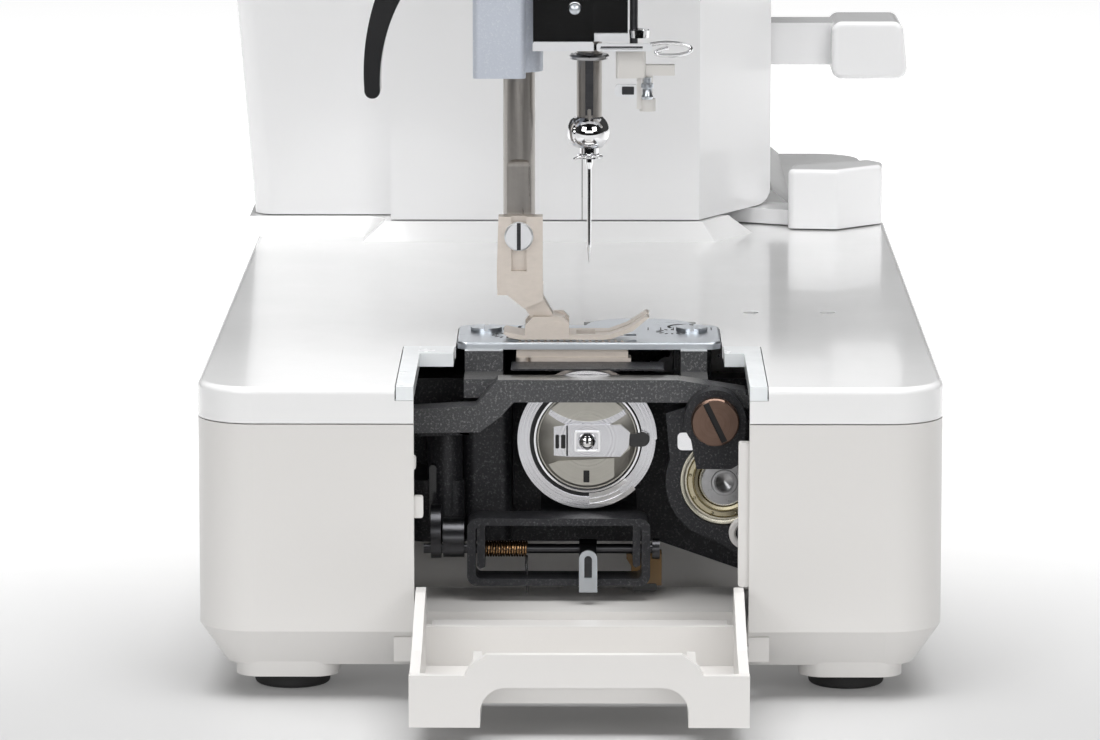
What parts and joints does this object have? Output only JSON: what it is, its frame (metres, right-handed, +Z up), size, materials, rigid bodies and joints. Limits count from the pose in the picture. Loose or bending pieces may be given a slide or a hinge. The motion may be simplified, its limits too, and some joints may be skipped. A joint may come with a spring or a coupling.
{
  "type": "straight-stitch sewing machine",
  "caption": "Semi-industrial straight-stitch sewing machine with a deep bed, an open bobbin door, a rotary hook and a presser foot with its needle.",
  "frame": {"origin": "middle of the whole footprint at table height", "axes": "+X from the bed's left end to the handwheel, -Y towards the operator, +Z up"},
  "size_m": [0.542, 0.1929, 0.345],
  "materials": {
    "white_gloss": "bright white moulded plastic, glossy",
    "white_warm": "warm white moulded plastic, satin",
    "clear_white": "milky translucent plastic",
    "beige_plastic": "beige moulded plastic",
    "dark_plastic": "black moulded plastic",
    "rubber": "black rubber",
    "dark_casting": "dark grey fine-grained casting",
    "grey_bushing": "grey-blue die casting",
    "nickel": "warm nickel plate, satin",
    "chrome": "bright chrome",
    "plate_steel": "satin blue-grey steel",
    "ground_steel": "ground steel",
    "bearing_steel": "polished bearing steel",
    "bronze": "brown bronzed steel"
  },
  "bodies": {
    "machine": {"base_casing": "white_warm", "rubber_feet": "rubber", "bed_cover": "white_gloss", "bay_trim": "clear_white", "pivot_pins": "ground_steel", "bed_frame": "dark_casting", "bed_bridge": "dark_casting", "hook_post": "dark_casting", "bearing_bracket": "dark_casting", "ball_bearing": "bearing_steel", "bracket_screw": "bronze", "arm_frame": "dark_casting", "needle_plate": "plate_steel", "plate_screws": "plate_steel", "bobbin_case": "nickel", "timing_belt": "rubber", "motor": "dark_casting", "presser_bushing": "grey_bushing", "needle_guard": "chrome", "drop_bracket": "dark_casting", "front_casing": "white_gloss", "rear_casing": "white_gloss", "motor_cover": "white_gloss", "face_cover": "white_gloss", "spool_pins": "dark_plastic"},
    "door": {"bobbin_door": "white_warm"},
    "drive": {"main_shaft": "ground_steel", "crank": "ground_steel", "handwheel": "white_gloss"},
    "rod": {"connecting_rod": "ground_steel"},
    "lower": {"lower_shaft": "ground_steel", "lower_gear": "ground_steel", "lower_pulley": "ground_steel"},
    "hook": {"hook_body": "ground_steel", "hook_gib": "chrome", "hook_shaft": "ground_steel"},
    "rotor": {"motor_pulley": "ground_steel"},
    "bobbin": {"bobbin": "ground_steel"},
    "latch": {"case_latch": "nickel"},
    "needle_bar": {"needle_bar": "ground_steel", "needle_clamp": "chrome", "needle": "ground_steel"},
    "take_up": {"take_up_lever": "chrome"},
    "threader": {"threader_block": "beige_plastic"},
    "presser": {"presser_bar": "ground_steel", "foot_shank": "nickel", "foot_screw": "nickel"},
    "sole": {"foot_sole": "nickel"},
    "lifter": {"presser_lifter": "dark_plastic"},
    "feed_bar": {"feed_bar": "nickel"},
    "feed_dog": {"feed_dog": "nickel"},
    "drop_shaft": {"drop_shaft": "ground_steel"},
    "drop_lever": {"feed_drop_lever": "white_gloss"},
    "reverse": {"reverse_lever": "white_gloss"},
    "stitch_dial": {"stitch_dial": "white_gloss"},
    "tension_dial": {"tension_dial": "dark_plastic"},
    "speed_slider": {"speed_slider": "beige_plastic"},
    "needle_button": {"needle_button": "beige_plastic"},
    "power_switch": {"power_switch": "dark_plastic"},
    "winder": {"winder_spindle": "chrome"}
  },
  "joints": [
    {"name": "door_hinge", "type": "hinge", "parent": "machine", "child": "door", "pos_m": [-0.20555, -0.0022, 0.01155], "axis": [0, 1, 0], "range_deg": [0, 90]},
    {"name": "main_spin", "type": "hinge", "parent": "machine", "child": "drive", "pos_m": [0.061, -0.00435, 0.245], "axis": [1, 0, 0], "continuous": true},
    {"name": "rod_swing", "type": "hinge", "parent": "drive", "child": "rod", "pos_m": [-0.1336, -0.00435, 0.26], "axis": [1, 0, 0], "continuous": true},
    {"name": "lower_spin", "type": "hinge", "parent": "machine", "child": "lower", "pos_m": [-0.009, -0.03785, 0.0463], "axis": [1, 0, 0], "continuous": true},
    {"name": "hook_spin", "type": "hinge", "parent": "machine", "child": "hook", "pos_m": [-0.149, -0.00395, 0.0556], "axis": [1, 0, 0], "continuous": true},
    {"name": "motor_spin", "type": "hinge", "parent": "machine", "child": "rotor", "pos_m": [0.224, 0.05965, 0.15], "axis": [1, 0, 0], "continuous": true},
    {"name": "bobbin_spin", "type": "hinge", "parent": "machine", "child": "bobbin", "pos_m": [-0.153, -0.00395, 0.0556], "axis": [1, 0, 0], "continuous": true},
    {"name": "latch_flip", "type": "hinge", "parent": "machine", "child": "latch", "pos_m": [-0.1584, 0.00325, 0.0556], "axis": [0, 0, -1], "range_deg": [0, 45]},
    {"name": "needle_slide", "type": "slide", "parent": "machine", "child": "needle_bar", "axis": [0, 0, -1], "range_m": [0, 0.03]},
    {"name": "take_up_swing", "type": "hinge", "parent": "machine", "child": "take_up", "pos_m": [-0.14, -0.02835, 0.238], "axis": [1, 0, 0], "range_deg": [0, 58]},
    {"name": "threader_slide", "type": "slide", "parent": "machine", "child": "threader", "axis": [0, 0, -1], "range_m": [0, 0.038]},
    {"name": "presser_slide", "type": "slide", "parent": "machine", "child": "presser", "axis": [0, 0, 1], "range_m": [0, 0.007]},
    {"name": "sole_tilt", "type": "hinge", "parent": "presser", "child": "sole", "pos_m": [-0.139, 0.00365, 0.0817], "axis": [-1, 0, 0], "range_deg": [0, 6]},
    {"name": "lifter_swing", "type": "hinge", "parent": "machine", "child": "lifter", "pos_m": [-0.108, 0.03565, 0.172], "axis": [1, 0, 0], "range_deg": [0, 50]},
    {"name": "feed_drop", "type": "slide", "parent": "machine", "child": "feed_bar", "axis": [0, 0, 1], "range_m": [-0.0007, 0]},
    {"name": "feed_travel", "type": "slide", "parent": "feed_bar", "child": "feed_dog", "axis": [0, 1, 0], "range_m": [-0.002, 0.002]},
    {"name": "drop_turn", "type": "hinge", "parent": "machine", "child": "drop_shaft", "pos_m": [-0.164, 0.00565, 0.029], "axis": [0, 1, 0], "range_deg": [0, 16.2]},
    {"name": "drop_lever_swing", "type": "hinge", "parent": "machine", "child": "drop_lever", "pos_m": [0.087, -0.04235, 0.0796], "axis": [0, 0, 1], "range_deg": [0, 18]},
    {"name": "reverse_press", "type": "hinge", "parent": "machine", "child": "reverse", "pos_m": [0.157, -0.05035, 0.13], "axis": [0, -1, 0], "range_deg": [0, 12], "stiffness_Nm_per_rad": 1.2, "springref_deg": -5.73},
    {"name": "dial_turn", "type": "hinge", "parent": "machine", "child": "stitch_dial", "pos_m": [0.176, -0.06235, 0.205], "axis": [0, 1, 0], "range_deg": [-140, 140]},
    {"name": "tension_turn", "type": "hinge", "parent": "machine", "child": "tension_dial", "pos_m": [-0.079, -0.07035, 0.245], "axis": [0, 1, 0], "range_deg": [-170, 170]},
    {"name": "speed_slide", "type": "slide", "parent": "machine", "child": "speed_slider", "axis": [1, 0, 0], "range_m": [-0.017, 0.017]},
    {"name": "button_press", "type": "slide", "parent": "machine", "child": "needle_button", "axis": [0, 1, 0], "range_m": [0, 0.002], "stiffness_N_per_m": 800, "springref_m": -0.0005},
    {"name": "switch_rock", "type": "hinge", "parent": "machine", "child": "power_switch", "pos_m": [0.2375, -0.04435, 0.045], "axis": [0, 1, 0], "range_deg": [0, 12]},
    {"name": "winder_spin", "type": "hinge", "parent": "machine", "child": "winder", "pos_m": [0.191, -0.02435, 0.31], "axis": [0, 0, 1], "continuous": true}
  ],
  "couplings": [
    {"joint": "rod_swing", "follows": "main_spin", "ratio": -1},
    {"joint": "lower_spin", "follows": "main_spin", "ratio": 1},
    {"joint": "hook_spin", "follows": "main_spin", "ratio": -2},
    {"joint": "motor_spin", "follows": "main_spin", "ratio": 4},
    {"joint": "take_up_swing", "follows": "needle_slide", "rad_per_m": 33.74},
    {"joint": "lifter_swing", "follows": "presser_slide", "rad_per_m": 124.65},
    {"joint": "sole_tilt", "follows": "presser_slide", "rad_per_m": 14.959},
    {"joint": "drop_lever_swing", "follows": "feed_drop", "rad_per_m": -448.75},
    {"joint": "drop_turn", "follows": "feed_drop", "rad_per_m": -403.88}
  ]
}
